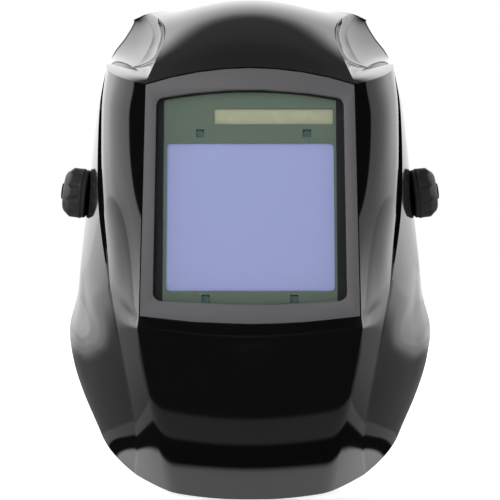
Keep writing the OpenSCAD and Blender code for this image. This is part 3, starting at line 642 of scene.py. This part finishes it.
def bending_strap(name):
    """Nylon strap that runs from the temple to the rear housing, its long edges cut into shorter ones."""
    piece = copied(name, "_strap")
    work = bmesh.new()
    work.from_mesh(piece.data)
    bmesh.ops.subdivide_edges(work, edges=[e for e in work.edges if e.calc_length() > 0.006], cuts=3,
                              use_grid_fill=True)
    work.to_mesh(piece.data)
    work.free()
    paint(piece, SLOTS[name])
    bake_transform(piece)
    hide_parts(name)


bending_strap("rear_band_left")
bending_strap("rear_band_right")


KNOB_AXIS = (0.99255, 0.12187)      # x and z of the +X knob's axis, 7 degrees up from level
WASHER_FACE = 104.3                 # where a knob's axis leaves its washer, in millimetres from the middle
COLLAR_SIDES = 48
# Height along the axis and radius of the collar's section, from the washer outwards
COLLAR_SECTION = ((0.0, 12.5), (0.0, 14.6), (0.8, 15.4), (3.6, 15.4), (3.6, 5))


def knob_collar(side, body):
    """Moulded collar on the inner face of a tension knob, down to its washer."""
    axis = np.array((side * KNOB_AXIS[0], 0, KNOB_AXIS[1]))
    across = np.array((0, 1.0, 0))
    up = np.cross(axis, across)
    start = side * np.array((WASHER_FACE, 0, 0)) + 0.1 * axis
    points, faces = [], []
    for height, radius in COLLAR_SECTION:
        for k in range(COLLAR_SIDES):
            a = 2 * math.pi * k / COLLAR_SIDES
            points.append(start + height * axis + radius * (math.cos(a) * across + math.sin(a) * up))
    for i in range(len(COLLAR_SECTION) - 1):
        here, after = i * COLLAR_SIDES, (i + 1) * COLLAR_SIDES
        for k in range(COLLAR_SIDES):
            m = (k + 1) % COLLAR_SIDES
            faces.append((here + k, here + m, after + m, after + k))
    new_piece(body + "_collar", points, faces, "knob_rubbery", body)


knob_collar(-1, "knob_left")
knob_collar(1, "knob_right")

# ---- Camera, light and floor ----
# Surroundings by direction from front (0) to rear (1): dark in front, tall soft boxes beside, paler behind
SIDE_STOPS = ((0, 0.008), (0.2, 0.008), (0.235, 0.9), (0.5, 1), (0.8, 0.95), (0.95, 0.6), (1, 0.5))
SIDE_LEVEL = 2.6            # radiance where the curve above is 1
CEILING_LEVEL = 0.15        # radiance overhead
RIGHT_SHARE = 0.55          # the box on the +X side is weaker
# Table as the gloss shell reflects it, by distance from the helmet's middle in metres
RINGS_END = (0.168, 0.176)  # where the last bright ring fades out
TABLE_STOPS = ((0, 1.2), (0.116, 1.2), (0.122, 0.01), (0.141, 0.01), (0.147, 0.34), (RINGS_END[0], 0.34),
               (RINGS_END[1], 0.2), (0.8, 0.2), (1.5, 0.7), (2.5, 0.95))
TABLE_GLOW = 0.42           # what the table adds to its own lit white
FRONT_SHARE = 0.15          # the table in front is darker beyond the rings
FLOOR_HALF = 40             # half of the floor's side, in metres
LIGHT_AIM = (0, 0, -0.03)


def add_camera():
    """Long lens, level, straight in front of the helmet."""
    data = bpy.data.cameras.new("camera")
    data.lens = 123
    data.sensor_width = 36
    camera = bpy.data.objects.new("camera", data)
    camera.location = (0, -1.1, -0.036)
    camera.rotation_euler = (math.radians(90), 0, 0)
    scene.collection.objects.link(camera)
    scene.camera = camera


def add_light(name, place, size, power):
    """A soft rectangular light aimed at the helmet, that no polished surface shows."""
    data = bpy.data.lights.new(name, "AREA")
    data.shape = "RECTANGLE"
    data.size, data.size_y = size
    data.energy = power
    light = bpy.data.objects.new(name, data)
    light.location = place
    direction = Vector(LIGHT_AIM) - Vector(place)
    light.rotation_euler = direction.to_track_quat("-Z", "Y").to_euler()
    light.visible_glossy = False
    scene.collection.objects.link(light)


def calc(tree, operation, *values):
    """One maths node on numbers or sockets."""
    node = tree.nodes.new("ShaderNodeMath")
    node.operation = operation
    for k, value in enumerate(values):
        if isinstance(value, (int, float)):
            node.inputs[k].default_value = value
        else:
            tree.links.new(value, node.inputs[k])
    return node.outputs["Value"]


def between(tree, value, low, high, at_low=0.0, at_high=1.0):
    """Eases from one level to another as the value goes from low to high."""
    node = tree.nodes.new("ShaderNodeMapRange")
    node.interpolation_type = "SMOOTHSTEP"
    for key, number in (("From Min", low), ("From Max", high), ("To Min", at_low), ("To Max", at_high)):
        node.inputs[key].default_value = number
    tree.links.new(value, node.inputs["Value"])
    return node.outputs["Result"]


def stepped(tree, value, stops):
    """Level through a list of stops, each eased into the next."""
    total = stops[0][1]
    for (low, at_low), (high, at_high) in zip(stops, stops[1:]):
        if at_low != at_high:
            total = calc(tree, "ADD", total, between(tree, value, low, high, 0, at_high - at_low))
    return total


def split_xyz(tree, output):
    """The three parts of a texture coordinate."""
    split = tree.nodes.new("ShaderNodeSeparateXYZ")
    tree.links.new(tree.nodes.new("ShaderNodeTexCoord").outputs[output], split.inputs["Vector"])
    return split.outputs["X"], split.outputs["Y"], split.outputs["Z"]


def add_world():
    """Studio surroundings: plain white to the camera; to all else soft boxes at both sides, and dark in front."""
    world = bpy.data.worlds.new("studio")
    scene.world = world
    world.use_nodes = True
    tree = world.node_tree
    x, y, z = split_xyz(tree, "Generated")
    back = calc(tree, "MULTIPLY", calc(tree, "ADD", y, 1.0), 0.5)
    sides = calc(tree, "MULTIPLY", stepped(tree, back, SIDE_STOPS), SIDE_LEVEL)
    weaker = calc(tree, "MULTIPLY", between(tree, x, 0, 0.3), between(tree, y, -0.2, 0.5, 1 - RIGHT_SHARE, 0.2))
    sides = calc(tree, "MULTIPLY", calc(tree, "SUBTRACT", 1.0, weaker), sides)
    low = between(tree, z, -0.02, 0.12, 0.72, 1)
    high = between(tree, z, 0.42, 0.75, 1, 0.03)
    sides = calc(tree, "MULTIPLY", calc(tree, "MULTIPLY", low, high), sides)
    total = calc(tree, "ADD", sides, between(tree, z, 0.5, 0.9, 0, CEILING_LEVEL))
    boxes = tree.nodes["Background"]
    boxes.inputs["Color"].default_value = (1, 1, 1, 1)
    tree.links.new(total, boxes.inputs["Strength"])
    ground = tree.nodes.new("ShaderNodeBackground")
    ground.inputs["Color"].default_value = (1, 1, 1, 1)
    path = tree.nodes.new("ShaderNodeLightPath")
    mix = tree.nodes.new("ShaderNodeMixShader")
    tree.links.new(path.outputs["Is Camera Ray"], mix.inputs["Fac"])
    tree.links.new(boxes.outputs["Background"], mix.inputs[1])
    tree.links.new(ground.outputs["Background"], mix.inputs[2])
    tree.links.new(mix.outputs["Shader"], tree.nodes["World Output"].inputs["Surface"])


def floor_material():
    """White table; a polished surface above it sees its rings and its edges."""
    material, shader = new_material("floor", (0.85, 0.85, 0.85), 0.6)
    shader.inputs["Emission Color"].default_value = (1, 1, 1, 1)
    shader.inputs["Emission Strength"].default_value = TABLE_GLOW
    tree = material.node_tree
    x, y = split_xyz(tree, "Object")[:2]
    radius = calc(tree, "SQRT", calc(tree, "ADD", calc(tree, "MULTIPLY", x, x), calc(tree, "MULTIPLY", y, y)))
    beyond = calc(tree, "MULTIPLY", between(tree, radius, *RINGS_END), between(tree, y, -0.1, -0.05, 1, 0))
    dim = calc(tree, "SUBTRACT", 1.0, calc(tree, "MULTIPLY", beyond, 1 - FRONT_SHARE))
    level = calc(tree, "MULTIPLY", stepped(tree, radius, TABLE_STOPS), dim)
    glow = tree.nodes.new("ShaderNodeEmission")
    glow.inputs["Color"].default_value = (1, 1, 1, 1)
    tree.links.new(level, glow.inputs["Strength"])
    path = tree.nodes.new("ShaderNodeLightPath")
    mix = tree.nodes.new("ShaderNodeMixShader")
    tree.links.new(path.outputs["Is Glossy Ray"], mix.inputs["Fac"])
    tree.links.new(shader.outputs["BSDF"], mix.inputs[1])
    tree.links.new(glow.outputs["Emission"], mix.inputs[2])
    tree.links.new(mix.outputs["Shader"], tree.nodes["Material Output"].inputs["Surface"])
    return material


def add_floor():
    """A large table, level with the lowest point of the helmet."""
    low = cad_bounds[0][2]
    mesh = bpy.data.meshes.new("floor")
    corners = [(x * FLOOR_HALF, y * FLOOR_HALF, low) for x, y in ((-1, -1), (1, -1), (1, 1), (-1, 1))]
    mesh.from_pydata(corners, [], [(0, 1, 2, 3)])
    floor = bpy.data.objects.new("floor", mesh)
    scene.collection.objects.link(floor)
    floor.data.materials.append(floor_material())


add_camera()
add_world()
add_floor()
add_light("front_fill", (-0.5, -1.5, 0.5), (1.2, 1.2), 21)
add_light("rear_fill", (0.5, 1.3, 0.5), (1.2, 1.2), 16)
scene.view_settings.view_transform = "Standard"
